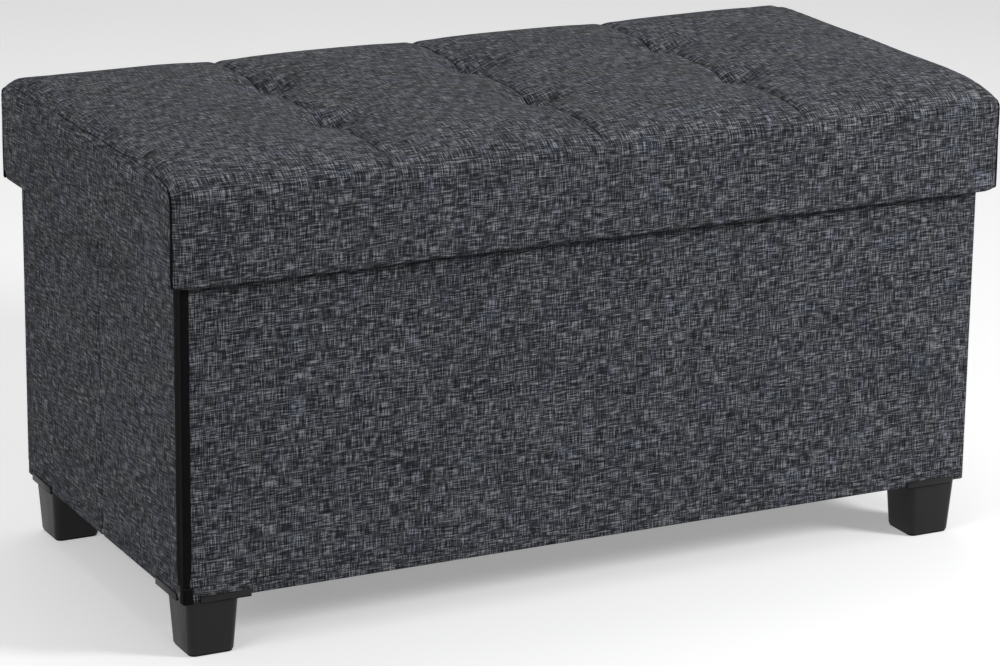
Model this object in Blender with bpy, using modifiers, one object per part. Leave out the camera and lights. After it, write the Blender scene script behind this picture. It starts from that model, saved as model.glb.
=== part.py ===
"""Folding storage bench: lift-off tufted lid, folding walls, base board on four plastic feet.

Metres, Z up. X runs along the length, Y to the rear, origin on the floor under the lid's middle.
"""
import math

import bmesh
import bpy

# ---- driving dimensions ----
LENGTH = 0.760            # lid, outside the cloth
DEPTH = 0.380
FOOT_H = 0.050            # floor to the underside of the base
BASE_BOARD_T = 0.010
WALL_H = 0.3025
BOARD_T = 0.006           # wall and skirt fibreboard
LID_BOARD_T = 0.009
FOAM_T = 0.0348           # under the crown of a panel
CLOTH_T = 0.001
LINING_T = 0.0006
GAP = 0.0003              # between pieces that touch
FOAM_GAP = 0.0007         # foam under its cloth
SKIRT_CLEAR = 0.0029      # lid hem to the walls, each side
SKIRT_LAP = 0.050         # how far the skirt hangs over the walls
HEM = 0.020               # lid cloth turned up inside the skirt
BASE_LIP = 0.015          # base cloth turned under the base board
PANELS = 4                # sewn panels across the top
EDGE_DROP = 0.003         # end panels fall this far towards the end seams
EDGE_ROLL = 0.006         # and this much further close to them
EDGE_REACH = 0.020
SEAM_DROP = 0.0075        # front-to-back seams lie this far under the crown
FRONT_SINK = 0.0105       # long front edge of the top lies this far under the crown
BACK_SINK = 0.0072        # long back edge of the top
SINK_POWER = 6            # how late the top starts to fall towards its long edges
TUFT_DROP = 0.0115        # extra depth at each blind tuft
TUFT_Y = 0.0635           # tufts in front of and behind the centre line
TUFT_RX = 0.023           # spread of the dimple along and across the bench
TUFT_RY = 0.021
DIMPLE_ROWS = (0.024, 0.012, 0.0, -0.012, -0.024)   # rows of points around each tuft
SHOULDER_R = 0.018        # roll of the top panels over the long edges
SHOULDER_ANGLES = (0, 18, 36, 54)
SHOULDER_JOIN = 72        # angle of the roll where it runs into the top
EDGE_ROWS = (0.032, 0.065)   # rows of points this far in from the long edges
TIE_R = 0.0008
TIE_HEAD_R = 0.009
TIE_HEAD_T = 0.0012
TIE_BARB = 0.0012         # height of the barb's cone
FOLD_PLAY = 0.00025       # corner hinge line beyond the wall's thickness
CREASE_OUT = 0.0005       # crease hinge line outside the wall's face
CREASE_GAP = 0.0008       # between the two half walls at the crease
BINDING_T = 0.0007
BINDING_W = 0.0072        # edge binding at the front left corner
BINDING_SINK = 0.0003
FOOT_TOP = 0.046
FOOT_BOTTOM = 0.040
FOOT_INSET = 0.0045       # foot's top edge inside the walls' faces
FOOT_R = 0.006
FOOT_WALL = 0.0028
PAD_T = 0.0015
PAD_INSET = 0.001
LIP_NEAR = 0.014          # foot's lip over the hem, measured from the corner
LIP_FAR = 0.058
LIP_UP = 0.0048
LIP_T = 0.0012
BOLT_R = 0.003            # M6 hanger bolt
BOLT_IN = 0.024           # length held in the foot
BOLT_CHAMFER = 0.0006
BOSS_R = 0.008
NUT_R = 0.0044            # tee nut barrel and flange
NUT_FLANGE_R = 0.0096
NUT_FLANGE_T = 0.0011
NUT_SHORT = 0.001         # barrel ends this far above the board's underside
SOFT_EDGE = 0.0012

# ---- derived ----
HX, HY = LENGTH / 2, DEPTH / 2
SKIN = CLOTH_T + GAP
WALL_T = SKIN + BOARD_T + GAP + LINING_T
HEM_IN = 2 * SKIN + BOARD_T                   # lid's outer face to its hem's inner face
WX, WY = HX - HEM_IN - SKIRT_CLEAR, HY - HEM_IN - SKIRT_CLEAR
BAND_H = BASE_BOARD_T + SKIN + GAP + LINING_T
BASE_BOARD_Z = FOOT_H + SKIN
BASE_TOP_Z = BASE_BOARD_Z + BASE_BOARD_T
WALL_Z = FOOT_H + BAND_H + GAP
WALL_TOP_Z = WALL_Z + WALL_H
SKIRT_Z = WALL_TOP_Z - SKIRT_LAP
LINING_Z = WALL_TOP_Z + GAP
LID_BOARD_Z = LINING_Z + LINING_T + GAP
FOAM_Z = LID_BOARD_Z + LID_BOARD_T + GAP
CROWN_Z = FOAM_Z + FOAM_T + FOAM_GAP + CLOTH_T
END_X = HX - SKIN                             # ends of the top panels, foam and lid board
TIE_SEAT_Z = LID_BOARD_Z + TIE_HEAD_T + 2 * GAP
PANEL_W = LENGTH / PANELS
PIVOT_IN = WALL_T + FOLD_PLAY
FOOT_X, FOOT_Y = (w - FOOT_INSET - FOOT_TOP / 2 for w in (WX, WY))
JOIN_Y = HY - SHOULDER_R * (1 - math.cos(math.radians(SHOULDER_JOIN)))
TUFTS = [(PANEL_W * (i - PANELS / 2), y) for i in range(1, PANELS) for y in (-TUFT_Y, TUFT_Y)]
CORNERS = {"front_left": (-1, -1), "front_right": (1, -1), "rear_left": (-1, 1), "rear_right": (1, 1)}
FAR = 0.02                                    # cutters run this far past what they cut

COLOURS = {
    "cloth": ((0.060, 0.066, 0.075), 0.9, 0.0),
    "lining": ((0.012, 0.012, 0.013), 0.95, 0.0),
    "binding": ((0.008, 0.008, 0.009), 0.7, 0.0),
    "board": ((0.42, 0.29, 0.17), 0.8, 0.0),
    "foam": ((0.82, 0.78, 0.62), 0.95, 0.0),
    "plastic": ((0.012, 0.012, 0.012), 0.4, 0.0),
    "nylon": ((0.75, 0.75, 0.72), 0.5, 0.0),
    "zinc": ((0.62, 0.63, 0.65), 0.3, 1.0),
    "felt": ((0.02, 0.02, 0.02), 0.95, 0.0),
}


# ---- scene and helpers ----
def clear_scene():
    for ob in list(bpy.data.objects):
        bpy.data.objects.remove(ob, do_unlink=True)


def new_collection(name):
    col = bpy.data.collections.new(name)
    bpy.context.scene.collection.children.link(col)
    return col


def material(name, kind):
    colour, rough, metal = COLOURS[kind]
    mat = bpy.data.materials.new(name)
    mat.use_nodes = True
    bsdf = mat.node_tree.nodes["Principled BSDF"]
    bsdf.inputs["Base Color"].default_value = (*colour, 1.0)
    bsdf.inputs["Roughness"].default_value = rough
    bsdf.inputs["Metallic"].default_value = metal
    mat.diffuse_color = (*colour, 1.0)
    return mat


def add_object(name, bm, kind=None, at=(0, 0, 0)):
    """A part in the main collection, or a cutter when no material kind is given."""
    bmesh.ops.recalc_face_normals(bm, faces=bm.faces)
    mesh = bpy.data.meshes.new(name)
    bm.to_mesh(mesh)
    bm.free()
    ob = bpy.data.objects.new(name, mesh)
    ob.location = at
    if kind:
        mesh.materials.append(material(name, kind))
        PARTS.objects.link(ob)
    else:
        CUTTERS.objects.link(ob)
        ob.hide_render = True
        ob.display_type = "WIRE"
    return ob


def cube_mesh(lo, hi):
    """A cube primitive stretched between two corners, about its own middle."""
    bm = bmesh.new()
    bmesh.ops.create_cube(bm, size=1.0)
    bmesh.ops.scale(bm, vec=[b - a for a, b in zip(lo, hi)], verts=bm.verts)
    return bm, [(a + b) / 2 for a, b in zip(lo, hi)]


def box(name, lo, hi, kind=None):
    bm, middle = cube_mesh(lo, hi)
    return add_object(name, bm, kind, middle)


def posts(name, centres, radius, z0, z1, sides=12):
    """Cutter of upright cylinders."""
    bm = bmesh.new()
    for x, y in centres:
        new = bmesh.ops.create_cone(bm, cap_ends=True, segments=sides, radius1=radius, radius2=radius,
                                    depth=z1 - z0)["verts"]
        bmesh.ops.translate(bm, vec=(x, y, (z0 + z1) / 2), verts=new)
    return add_object(name, bm)


def turned(name, profile, at, kind, steps=12):
    """Profile of (radius, height) from top to bottom, turned about Z by a Screw modifier."""
    bm = bmesh.new()
    vs = [bm.verts.new((r, 0, z)) for r, z in profile]
    for a, b in zip(vs, vs[1:]):
        bm.edges.new((a, b))
    ob = add_object(name, bm, kind, at)
    mod = ob.modifiers.new("turn", "SCREW")
    mod.steps = mod.render_steps = steps
    mod.use_merge_vertices = True
    mod.merge_threshold = 0.00005
    mod.use_smooth_shade = False
    return ob


def boolean(ob, cutter, operation="DIFFERENCE"):
    mod = ob.modifiers.new(cutter.name, "BOOLEAN")
    mod.operation = operation
    mod.solver = "EXACT"
    mod.object = cutter


def soften(ob, width=SOFT_EDGE, segments=2):
    mod = ob.modifiers.new("soft_edges", "BEVEL")
    mod.width = width
    mod.segments = segments
    mod.limit_method = "ANGLE"
    mod.angle_limit = math.radians(40)


def thicken(ob, thickness):
    mod = ob.modifiers.new("cloth", "SOLIDIFY")
    mod.thickness = thickness
    mod.offset = -1
    mod.use_even_offset = True
    mod.use_quality_normals = True


def tray(name, lo, hi, open_sides, kind, thickness):
    """Thin shell over a board, open on the sides named by their outward (axis, sign)."""
    bm, middle = cube_mesh(lo, hi)
    gone = [f for f in bm.faces for axis, sign in open_sides if f.normal[axis] * sign > 0.9]
    bmesh.ops.delete(bm, geom=gone, context="FACES_ONLY")
    ob = add_open(name, bm, kind, middle)
    soften(ob)
    thicken(ob, thickness)
    return ob


def add_open(name, bm, kind, at=(0, 0, 0)):
    """An open surface keeps the normals it has: they face away from the solid side."""
    mesh = bpy.data.meshes.new(name)
    bm.to_mesh(mesh)
    bm.free()
    mesh.materials.append(material(name, kind))
    ob = bpy.data.objects.new(name, mesh)
    ob.location = at
    PARTS.objects.link(ob)
    return ob


# ---- walls ----
class Run:
    """Coordinates of a wall: r along it, t inwards from its outer face, z up."""

    def __init__(self, along, side):
        self.along = along
        self.side = side
        self.face = side * (WY if along == 0 else WX)

    def span(self, r0, r1, t0, t1, z0, z1):
        across = sorted((self.face - self.side * t0, self.face - self.side * t1))
        lo, hi = [0, 0, z0], [0, 0, z1]
        lo[self.along], hi[self.along] = r0, r1
        lo[1 - self.along], hi[1 - self.along] = across
        return lo, hi


def build_wall(name, along, side, r0, r1, bound=False):
    """Cloth, board and lining of one wall; a bound wall has edge binding at its low end."""
    run = Run(along, side)
    inner = (1 - along, -side)
    z0, z1 = WALL_Z, WALL_TOP_Z
    cloth0, board0, open_sides = r0, r0 + SKIN, [inner]
    if bound:
        cloth0 = r0 + BINDING_W + GAP
        board0 = r0 + BINDING_T + GAP
        open_sides.append((along, -1))
        tray(name + "_binding", *run.span(r0, r0 + BINDING_W, BINDING_SINK, WALL_T, z0, z1),
             [(along, 1)], "binding", BINDING_T)
    tray(name + "_cover", *run.span(cloth0, r1, 0, WALL_T, z0, z1), open_sides, "cloth", CLOTH_T)
    box(name + "_board", *run.span(board0, r1 - SKIN, SKIN, SKIN + BOARD_T, z0 + SKIN, z1 - SKIN), "board")
    lining0 = cloth0 if bound else board0
    box(name + "_lining", *run.span(lining0, r1 - SKIN, WALL_T - LINING_T, WALL_T, z0 + SKIN, z1 - SKIN),
        "lining")


def build_walls():
    """End walls stand between the long walls and are halved at a crease so that they fold inwards."""
    end = WY - WALL_T - GAP
    crease = CREASE_GAP / 2
    build_wall("back", 0, 1, -WX, WX)
    build_wall("front", 0, -1, -WX, WX, bound=True)
    build_wall("left_rear", 1, -1, crease, end)
    build_wall("left_front", 1, -1, -end, -crease, bound=True)
    build_wall("right_rear", 1, 1, crease, end)
    build_wall("right_front", 1, 1, -end, -crease)


# ---- base and feet ----
def build_base():
    band, middle = cube_mesh((-WX, -WY, FOOT_H), (WX, WY, FOOT_H + BAND_H))
    top = [f for f in band.faces if f.normal.z > 0.9]
    bottom = [f for f in band.faces if f.normal.z < -0.9]
    bmesh.ops.delete(band, geom=top, context="FACES_ONLY")
    bmesh.ops.inset_region(band, faces=bottom, thickness=BASE_LIP, use_even_offset=True)
    bmesh.ops.delete(band, geom=bottom, context="FACES")
    thicken(add_open("base_edge_band", band, "cloth", middle), CLOTH_T)

    bx, by = WX - SKIN, WY - SKIN
    board = box("base_board", (-bx, -by, BASE_BOARD_Z), (bx, by, BASE_TOP_Z), "board")
    dx, dy = WX - BASE_LIP - GAP, WY - BASE_LIP - GAP
    dust = box("dust_cover", (-dx, -dy, FOOT_H), (dx, dy, FOOT_H + LINING_T), "lining")
    lx, ly = WX - WALL_T - GAP, WY - WALL_T - GAP
    box("base_liner", (-lx, -ly, BASE_TOP_Z + GAP), (lx, ly, BASE_TOP_Z + GAP + LINING_T), "lining")

    centres = [(sx * FOOT_X, sy * FOOT_Y) for sx, sy in CORNERS.values()]
    seat_z = BASE_TOP_Z - NUT_FLANGE_T - 2 * GAP
    boolean(board, posts("nut_bores", centres, NUT_R + GAP, FOOT_H - FAR, BASE_TOP_Z + FAR))
    boolean(board, posts("nut_seats", centres, NUT_FLANGE_R + GAP, seat_z, BASE_TOP_Z + FAR, 16))
    boolean(dust, posts("dust_holes", centres, BOLT_R + 2 * GAP, FOOT_H - FAR, FOOT_H + FAR))
    for corner, (sx, sy) in CORNERS.items():
        at = (sx * FOOT_X, sy * FOOT_Y, 0)
        build_foot(corner, sx, sy)
        build_fixings(corner, at, seat_z)


def build_fixings(corner, at, seat_z):
    """Tee nut let into the base board, hanger bolt and felt pad of one foot."""
    bore, nut_top, nut_foot = BOLT_R + GAP, seat_z + GAP + NUT_FLANGE_T, BASE_BOARD_Z + NUT_SHORT
    rim = [(bore, nut_top), (NUT_FLANGE_R, nut_top), (NUT_FLANGE_R, seat_z + GAP),
           (NUT_R, seat_z + GAP), (NUT_R, nut_foot), (bore, nut_foot), (bore, nut_top)]
    turned("tee_nut_" + corner, rim, at, "zinc", 16)
    top = nut_top - GAP
    foot = FOOT_H - BOLT_IN
    tip = BOLT_R - BOLT_CHAMFER
    bolt = [(0, top), (tip, top), (BOLT_R, top - BOLT_CHAMFER), (BOLT_R, foot + BOLT_CHAMFER),
            (tip, foot), (0, foot)]
    turned("foot_bolt_" + corner, bolt, at, "zinc")
    half = FOOT_BOTTOM / 2 - PAD_INSET
    tapered("foot_pad_" + corner, at, half, half, FOOT_R - PAD_INSET, 0, PAD_T, "felt")


def tapered(name, at, low, high, radius, z0, z1, kind=None):
    """Square block with rounded upright edges, of half width low at z0 and high at z1."""
    bm = bmesh.new()
    bmesh.ops.create_cube(bm, size=2.0)
    for v in bm.verts:
        half = high if v.co.z > 0 else low
        v.co = (v.co.x * half, v.co.y * half, z1 if v.co.z > 0 else z0)
    uprights = [e for e in bm.edges if abs(e.verts[0].co.z - e.verts[1].co.z) > (z1 - z0) / 2]
    bmesh.ops.bevel(bm, geom=uprights, offset=radius, segments=4, profile=0.5, affect="EDGES")
    return add_object(name, bm, kind, at)


def build_foot(corner, sx, sy):
    """Hollow tapered foot, open below, with a bolt boss and a lip that laps the hem."""
    at = (sx * FOOT_X, sy * FOOT_Y, 0)
    z0, z1 = PAD_T + GAP, FOOT_H - GAP
    low, high = FOOT_BOTTOM / 2, FOOT_TOP / 2
    foot = tapered("foot_" + corner, at, low, high, FOOT_R, z0, z1, "plastic")
    for axis, s, t in ((0, sx, sy), (1, sy, sx)):
        edge = (WX, WY)[axis] * s
        face = (WX, WY)[1 - axis] * t + t * GAP
        run = sorted((edge - s * LIP_NEAR, edge - s * LIP_FAR))
        for part, depth, za, zb in (("flange", 2 * FOOT_INSET, z1 - LIP_T, z1),
                                    ("lip", 0, z1 - LIP_T / 2, FOOT_H + LIP_UP)):
            across = sorted((face - t * depth, face + t * LIP_T))
            lo, hi = [0, 0, za], [0, 0, zb]
            lo[axis], hi[axis] = run
            lo[1 - axis], hi[1 - axis] = across
            boolean(foot, box(f"{part}_{corner}_{axis}", lo, hi), "UNION")
    cavity = tapered("cavity_" + corner, at, low - FOOT_WALL, high - FOOT_WALL, FOOT_R - FOOT_WALL,
                     z0 - GAP, z1 - FOOT_WALL)
    boolean(foot, cavity)
    boolean(foot, posts("boss_" + corner, [at[:2]], BOSS_R, z1 - BOLT_IN, z1 - FOOT_WALL / 2), "UNION")
    boolean(foot, posts("bolt_hole_" + corner, [at[:2]], BOLT_R + GAP, 0, FOOT_H + FAR))


# ---- lid ----
def long_edge(y):
    """How far the long edge on this side of the top lies under the crown."""
    return FRONT_SINK if y < 0 else BACK_SINK


def crown_drop(x, y):
    """How far the cushion's surface lies under the crown: panel puffs, seams and tufts."""
    i = min(PANELS - 1, max(0, int((x + HX) / PANEL_W)))
    u = 2 * ((x + HX) / PANEL_W - i) - 1
    left = EDGE_DROP if i == 0 else SEAM_DROP
    right = EDGE_DROP if i == PANELS - 1 else SEAM_DROP
    across = left * ((1 - u) / 2) ** 4 + right * ((1 + u) / 2) ** 4
    across += EDGE_ROLL * max(0, 1 - (HX - abs(x)) / EDGE_REACH) ** 2
    sink = long_edge(y) * min(1, abs(y) / JOIN_Y) ** SINK_POWER
    drop = math.hypot(across, sink)
    for tx, ty in TUFTS:
        drop += TUFT_DROP * math.exp(-((x - tx) / TUFT_RX) ** 2 - ((y - ty) / TUFT_RY) ** 2)
    return drop


def roll_rows():
    """Rows from the front shoulder over the top to the rear one, as (side, angle) or (0, y)."""
    near = [TUFT_Y + d for d in DIMPLE_ROWS]
    ys = [JOIN_Y] + [HY - inset for inset in EDGE_ROWS] + near + [near[-1] / 2]
    front = [(-1, a) for a in SHOULDER_ANGLES] + [(0, -y) for y in ys]
    return front + [(0, 0.0)] + [(-s, -v if s == 0 else v) for s, v in reversed(front)]


def roll_point(row, x, sink):
    """Point of the cushion's surface at x, sunk below the cloth's outer face."""
    side, value = row
    if side == 0:
        return x, value, CROWN_Z - sink - crown_drop(x, value)
    r, a = SHOULDER_R - sink, math.radians(value)
    y = side * (HY - SHOULDER_R + r * math.cos(a))
    centre = CROWN_Z - long_edge(side) - SHOULDER_R * math.sin(math.radians(SHOULDER_JOIN))
    share = value / SHOULDER_JOIN
    fade = share ** 2 * (3 - 2 * share)
    extra = crown_drop(x, side * JOIN_Y) - long_edge(side)
    return x, y, centre + r * math.sin(a) - extra * fade


def grid_surface(rows):
    """A grid primitive laid through rows of points."""
    bm = bmesh.new()
    count, width = len(rows), len(rows[0])
    bmesh.ops.create_grid(bm, x_segments=width - 1, y_segments=count - 1, size=1.0)
    for v in bm.verts:
        i = round((v.co.y + 1) / 2 * (count - 1))
        j = round((v.co.x + 1) / 2 * (width - 1))
        v.co = rows[i][j]
    return bm


PANEL_STEPS = (-1.0, -0.86, -0.52, 0.0, 0.52, 0.86, 1.0)


def build_cover(name, index):
    """Top panel: front hem, skirt, over the cushion, skirt, rear hem."""
    x0 = -END_X if index == 0 else -HX + index * PANEL_W + GAP / 2
    x1 = END_X if index == PANELS - 1 else -HX + (index + 1) * PANEL_W - GAP / 2
    xs = [(x0 + x1) / 2 + (x1 - x0) / 2 * u for u in PANEL_STEPS]
    mitre = HX - HEM_IN - GAP
    short = [max(-mitre, min(mitre, x)) for x in xs]

    def hem(side):
        leg = side * (HY - HEM_IN)
        return [[(x, leg, SKIRT_Z + HEM) for x in short], [(x, leg, SKIRT_Z) for x in short],
                [(x, side * HY, SKIRT_Z) for x in xs]]

    rows = hem(-1) + [[roll_point(r, x, 0) for x in xs] for r in roll_rows()] + hem(1)[::-1]
    thicken(add_open(name, grid_surface(rows), "cloth"), CLOTH_T)


def build_gusset(name, side):
    """End piece of the lid's cloth, with its own hem turned up inside the skirt."""
    outline = [roll_point(r, END_X, 0)[1:] for r in roll_rows()]
    if side > 0:
        outline.reverse()
    reach = HY - HEM_IN - 2 * GAP
    leg = side * (HX - HEM_IN)
    short = [y * reach / HY for y, z in outline]
    tuck = 1 - 2 * CLOTH_T / HY
    rows = [[(leg, y, SKIRT_Z + HEM) for y in short], [(leg, y, SKIRT_Z) for y in short],
            [(side * HX, y * tuck, SKIRT_Z) for y, z in outline],
            [(side * HX, y, SKIRT_Z + 2 * CLOTH_T) for y, z in outline],
            [(side * HX, y, z) for y, z in outline]]
    bm = grid_surface([row[::-1] for row in rows])
    thicken(add_open(name, bm, "cloth"), CLOTH_T)


def build_foam():
    """Foam block under the cloth, raised from its flat underside, with a hole for each tie."""
    xs = []
    for i in range(PANELS):
        steps = PANEL_STEPS if i == 0 else PANEL_STEPS[1:]
        xs += [-HX + (i + (1 + u) / 2) * PANEL_W for u in steps]
    xs[0], xs[-1] = -END_X + FOAM_GAP, END_X - FOAM_GAP
    top = [[roll_point(r, x, CLOTH_T + FOAM_GAP) for x in xs] for r in roll_rows()]
    floor = [[(x, y, FOAM_Z) for x, y, z in row] for row in top]
    bm = grid_surface(floor)
    rise = {(round(x, 6), round(y, 6)): z for row in top for x, y, z in row}
    underside = list(bm.faces)
    raised = bmesh.ops.extrude_face_region(bm, geom=underside, use_keep_orig=True)["geom"]
    for v in raised:
        if isinstance(v, bmesh.types.BMVert):
            v.co.z = rise[min(rise, key=lambda k: abs(k[0] - v.co.x) + abs(k[1] - v.co.y))]
    bmesh.ops.dissolve_faces(bm, faces=underside, use_verts=True)
    foam = add_object("lid_foam", bm, "foam")
    boolean(foam, posts("foam_ties", TUFTS, TIE_R * 3, FOAM_Z - FAR, CROWN_Z + FAR, 8))


def build_lid_frame():
    y_out, t = HY - SKIN, BOARD_T
    z0, z1 = SKIRT_Z + SKIN, LID_BOARD_Z - GAP
    for name, s in (("front", -1), ("back", 1)):
        lo, hi = sorted((s * y_out, s * (y_out - t)))
        box("lid_skirt_" + name, (-END_X + GAP, lo, z0), (END_X - GAP, hi, z1), "board")
    for name, s in (("left", -1), ("right", 1)):
        lo, hi = sorted((s * END_X, s * (END_X - t)))
        box("lid_skirt_" + name, (lo, -y_out + t + GAP, z0), (hi, y_out - t - GAP, z1), "board")
    top = LID_BOARD_Z + LID_BOARD_T
    board = box("lid_board", (-END_X, -y_out, LID_BOARD_Z), (END_X, y_out, top), "board")
    boolean(board, posts("tie_holes", TUFTS, TIE_R * 3, LID_BOARD_Z - FAR, top + FAR, 8))
    boolean(board, posts("tie_seats", TUFTS, TIE_HEAD_R + GAP, LID_BOARD_Z - FAR, TIE_SEAT_Z, 12))
    lx, ly = END_X - t - 2 * GAP, y_out - t - 2 * GAP
    box("lid_lining", (-lx, -ly, LINING_Z), (lx, ly, LINING_Z + LINING_T), "lining")


def build_ties():
    """One-piece nylon ties: flat head let into the board, stem, and a barb under the cloth."""
    for i, (x, y) in enumerate(TUFTS):
        top = roll_point((0, y), x, CLOTH_T + 4 * GAP)[2]
        head = TIE_SEAT_Z - GAP
        barb = 2 * TIE_R
        profile = [(0, top), (TIE_R, top), (barb, top - TIE_BARB), (barb, top - 1.5 * TIE_BARB),
                   (TIE_R, top - 2 * TIE_BARB), (TIE_R, head), (TIE_HEAD_R, head),
                   (TIE_HEAD_R, head - TIE_HEAD_T), (0, head - TIE_HEAD_T)]
        turned(f"tuft_tie_{i + 1}", profile, (x, y, 0), "nylon", 10)


# ---- hinge lines ----
def hinge_lines():
    """Empties on the hinge lines and the lid's lift line; the moving pieces hang from them."""
    px, py = WX - PIVOT_IN, WY - PIVOT_IN
    crease = WX + CREASE_OUT
    axes = {"left_rear": (-px, py), "right_rear": (px, py), "front": (-px, -py),
            "left_front": (-crease, 0), "right_front": (crease, 0), "lid": (0, 0)}
    for name, (x, y) in axes.items():
        empty = bpy.data.objects.new("axis_" + name, None)
        empty.location = (x, y, WALL_TOP_Z if name == "lid" else WALL_Z)
        empty.empty_display_size = 0.03
        PARTS.objects.link(empty)
        members = [ob for ob in PARTS.objects if ob.type == "MESH" and ob.name.startswith(name + "_")]
        if name == "lid":
            members += [ob for ob in PARTS.objects if ob.name.startswith("tuft_tie")]
        for ob in members:
            ob.parent = empty
            ob.matrix_parent_inverse.identity()
            ob.location = ob.location - empty.location


clear_scene()
PARTS = new_collection("storage_bench")
CUTTERS = new_collection("cutters")
build_base()
build_walls()
for order, place in enumerate(("left", "mid_left", "mid_right", "right")):
    build_cover("lid_cover_" + place, order)
build_gusset("lid_gusset_left", -1)
build_gusset("lid_gusset_right", 1)
build_foam()
build_lid_frame()
build_ties()
hinge_lines()
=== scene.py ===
"""Looks of the folding storage bench: upholstered lid, cloth-covered walls, plastic feet."""
import math

import bmesh
import bpy
import numpy as np
from mathutils import Matrix, Vector


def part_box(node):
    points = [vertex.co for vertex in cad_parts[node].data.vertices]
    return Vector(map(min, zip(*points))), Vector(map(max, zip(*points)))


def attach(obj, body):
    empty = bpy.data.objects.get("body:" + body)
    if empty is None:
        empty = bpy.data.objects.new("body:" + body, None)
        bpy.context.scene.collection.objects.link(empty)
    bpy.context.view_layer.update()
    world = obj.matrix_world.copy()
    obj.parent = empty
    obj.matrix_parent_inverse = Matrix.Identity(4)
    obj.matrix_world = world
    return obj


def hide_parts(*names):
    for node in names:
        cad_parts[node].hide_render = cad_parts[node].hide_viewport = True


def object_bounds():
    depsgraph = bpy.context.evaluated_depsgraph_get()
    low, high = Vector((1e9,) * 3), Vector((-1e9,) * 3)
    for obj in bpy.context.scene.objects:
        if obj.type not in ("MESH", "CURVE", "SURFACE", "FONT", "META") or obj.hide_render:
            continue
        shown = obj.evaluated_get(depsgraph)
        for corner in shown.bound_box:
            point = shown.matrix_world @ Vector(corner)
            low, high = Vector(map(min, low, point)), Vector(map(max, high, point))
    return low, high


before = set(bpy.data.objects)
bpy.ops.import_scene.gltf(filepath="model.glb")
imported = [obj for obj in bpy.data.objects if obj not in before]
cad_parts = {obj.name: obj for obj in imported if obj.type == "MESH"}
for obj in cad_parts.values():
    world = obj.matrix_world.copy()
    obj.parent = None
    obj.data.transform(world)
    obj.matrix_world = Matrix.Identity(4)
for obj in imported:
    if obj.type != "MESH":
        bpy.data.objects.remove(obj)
CAD_BOX = [list(corner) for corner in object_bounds()]

# ---- sizes in metres, as in the CAD ----
HX, HY = CAD_BOX[1][0], CAD_BOX[1][1]
CROWN_Z = 0.412
SKIRT_Z = 0.315
HEM_IN = 0.0086           # lid's outer face to its hem's inner face
HEM = 0.020
WX, WY = 0.3685, 0.1785
WALL_T = 0.0082
BASE_Z, BASE_TOP_Z = 0.050, 0.0622
WALL_TOP_Z = 0.365
FOAM_Z = 0.3755
BASE_LIP = 0.015
PANELS = 4
PANEL_W = 2 * HX / PANELS
SHOULDER_R = 0.018
SHOULDER_JOIN = math.radians(72)
JOIN_Y = HY - SHOULDER_R * (1 - math.cos(SHOULDER_JOIN))
FRONT_SINK, BACK_SINK, SINK_POWER = 0.0105, 0.0072, 6
EDGE_DROP, EDGE_ROLL, EDGE_REACH = 0.003, 0.006, 0.020
SEAM_DROP = 0.0075
TUFT_DROP = 0.0125
TUFT_Y = 0.0635
TUFT_RX, TUFT_RY = 0.0225, 0.0205
TUFTS = [(PANEL_W * (i - PANELS / 2), y) for i in range(1, PANELS) for y in (-TUFT_Y, TUFT_Y)]
# width of the black strip that paints the shade at the front-left corner
SHADE_STRIP_W = 0.0072
CREASE_HALF = 0.0004
FOOT_LOW, FOOT_HIGH = 0.020, 0.023
FOOT_X, FOOT_Y = 0.341, 0.151
FOOT_R = 0.006
LIP_NEAR, LIP_FAR = 0.014, 0.058
LIP_UP, LIP_T = 0.0048, 0.0012
GAP = 0.0003

# ---- cloth shape ----
END_X = HX - 0.0003       # where the top panels meet the end pieces
FACE_OUT = 0.0024         # how far the lid's cloth stands off its boards
FOAM_UNDER = 0.0028       # foam under its cloth
SEAM_ROLL = 0.0024        # how far a panel's edge rolls down into a seam
SEAM_REACH = 0.008
CORNER_ROLL = 0.0032
CORNER_REACH = 0.013
TUCK = 0.0034             # seam allowance going down between two panels
CORNER_TUCK = 0.0009
KEEP_SIMULATED = 0.45     # share of the simulated shape that goes into the finished one
PANEL_COLUMNS = 34
SHRINK = 0.0016           # the simulated cloth starts this far under the finished one
CAP = 0.006               # most that the simulation may move a point
GUSSET_BULGE = 0.0016
SKIRT_TOP = 0.370         # where the plain skirt meets the cushion's rows of points
HEM_ROLL = 0.0022         # radius at the lid's lower edge
WAVE_COUNT = 7            # sine waves in a stretch of uneven cloth
LID_UNEVEN = 0.00045
WALL_UNEVEN = 0.00035
TRAY_STEP = 0.009         # between rows of points on a wall's cloth
LEVEL_RADII = (0.0005, 0.0005)   # rounding of the walls' lower and upper edges
LINING_STEP = 0.012
LINING_UNEVEN = 0.0001
LINING_INSET = 0.00005
STAPLE_W, WIRE_R = 0.0095, 0.0006


# ---------------------------------------------------------------- mesh helpers
def waves(a, b, size, seed):
    """Gentle, smooth unevenness of about 1 at its highest, over two coordinates in metres."""
    rng = np.random.default_rng(seed)
    total = 0
    for _ in range(WAVE_COUNT):
        turn = rng.uniform(0, math.pi)
        step = 2 * math.pi / (size * rng.uniform(0.7, 1.8))
        phase = rng.uniform(0, 2 * math.pi)
        total = total + np.sin((a * math.cos(turn) + b * math.sin(turn)) * step + phase)
    return total / WAVE_COUNT * 1.6


def smooth(x):
    x = np.clip(x, 0, 1)
    return x * x * (3 - 2 * x)


def fall(distance, reach, depth):
    """Depth of a rolled edge at a distance from it."""
    return depth * np.clip(1 - distance / reach, 0, 1) ** 2


def arc_lengths(path):
    steps = np.linalg.norm(np.diff(path, axis=0), axis=1)
    return np.concatenate([[0], np.cumsum(steps)])


def grid_normals(grid):
    along = np.gradient(grid, axis=1)
    across = np.gradient(grid, axis=0)
    normal = np.cross(along, across)
    return normal / np.maximum(np.linalg.norm(normal, axis=2, keepdims=True), 1e-12)


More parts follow.
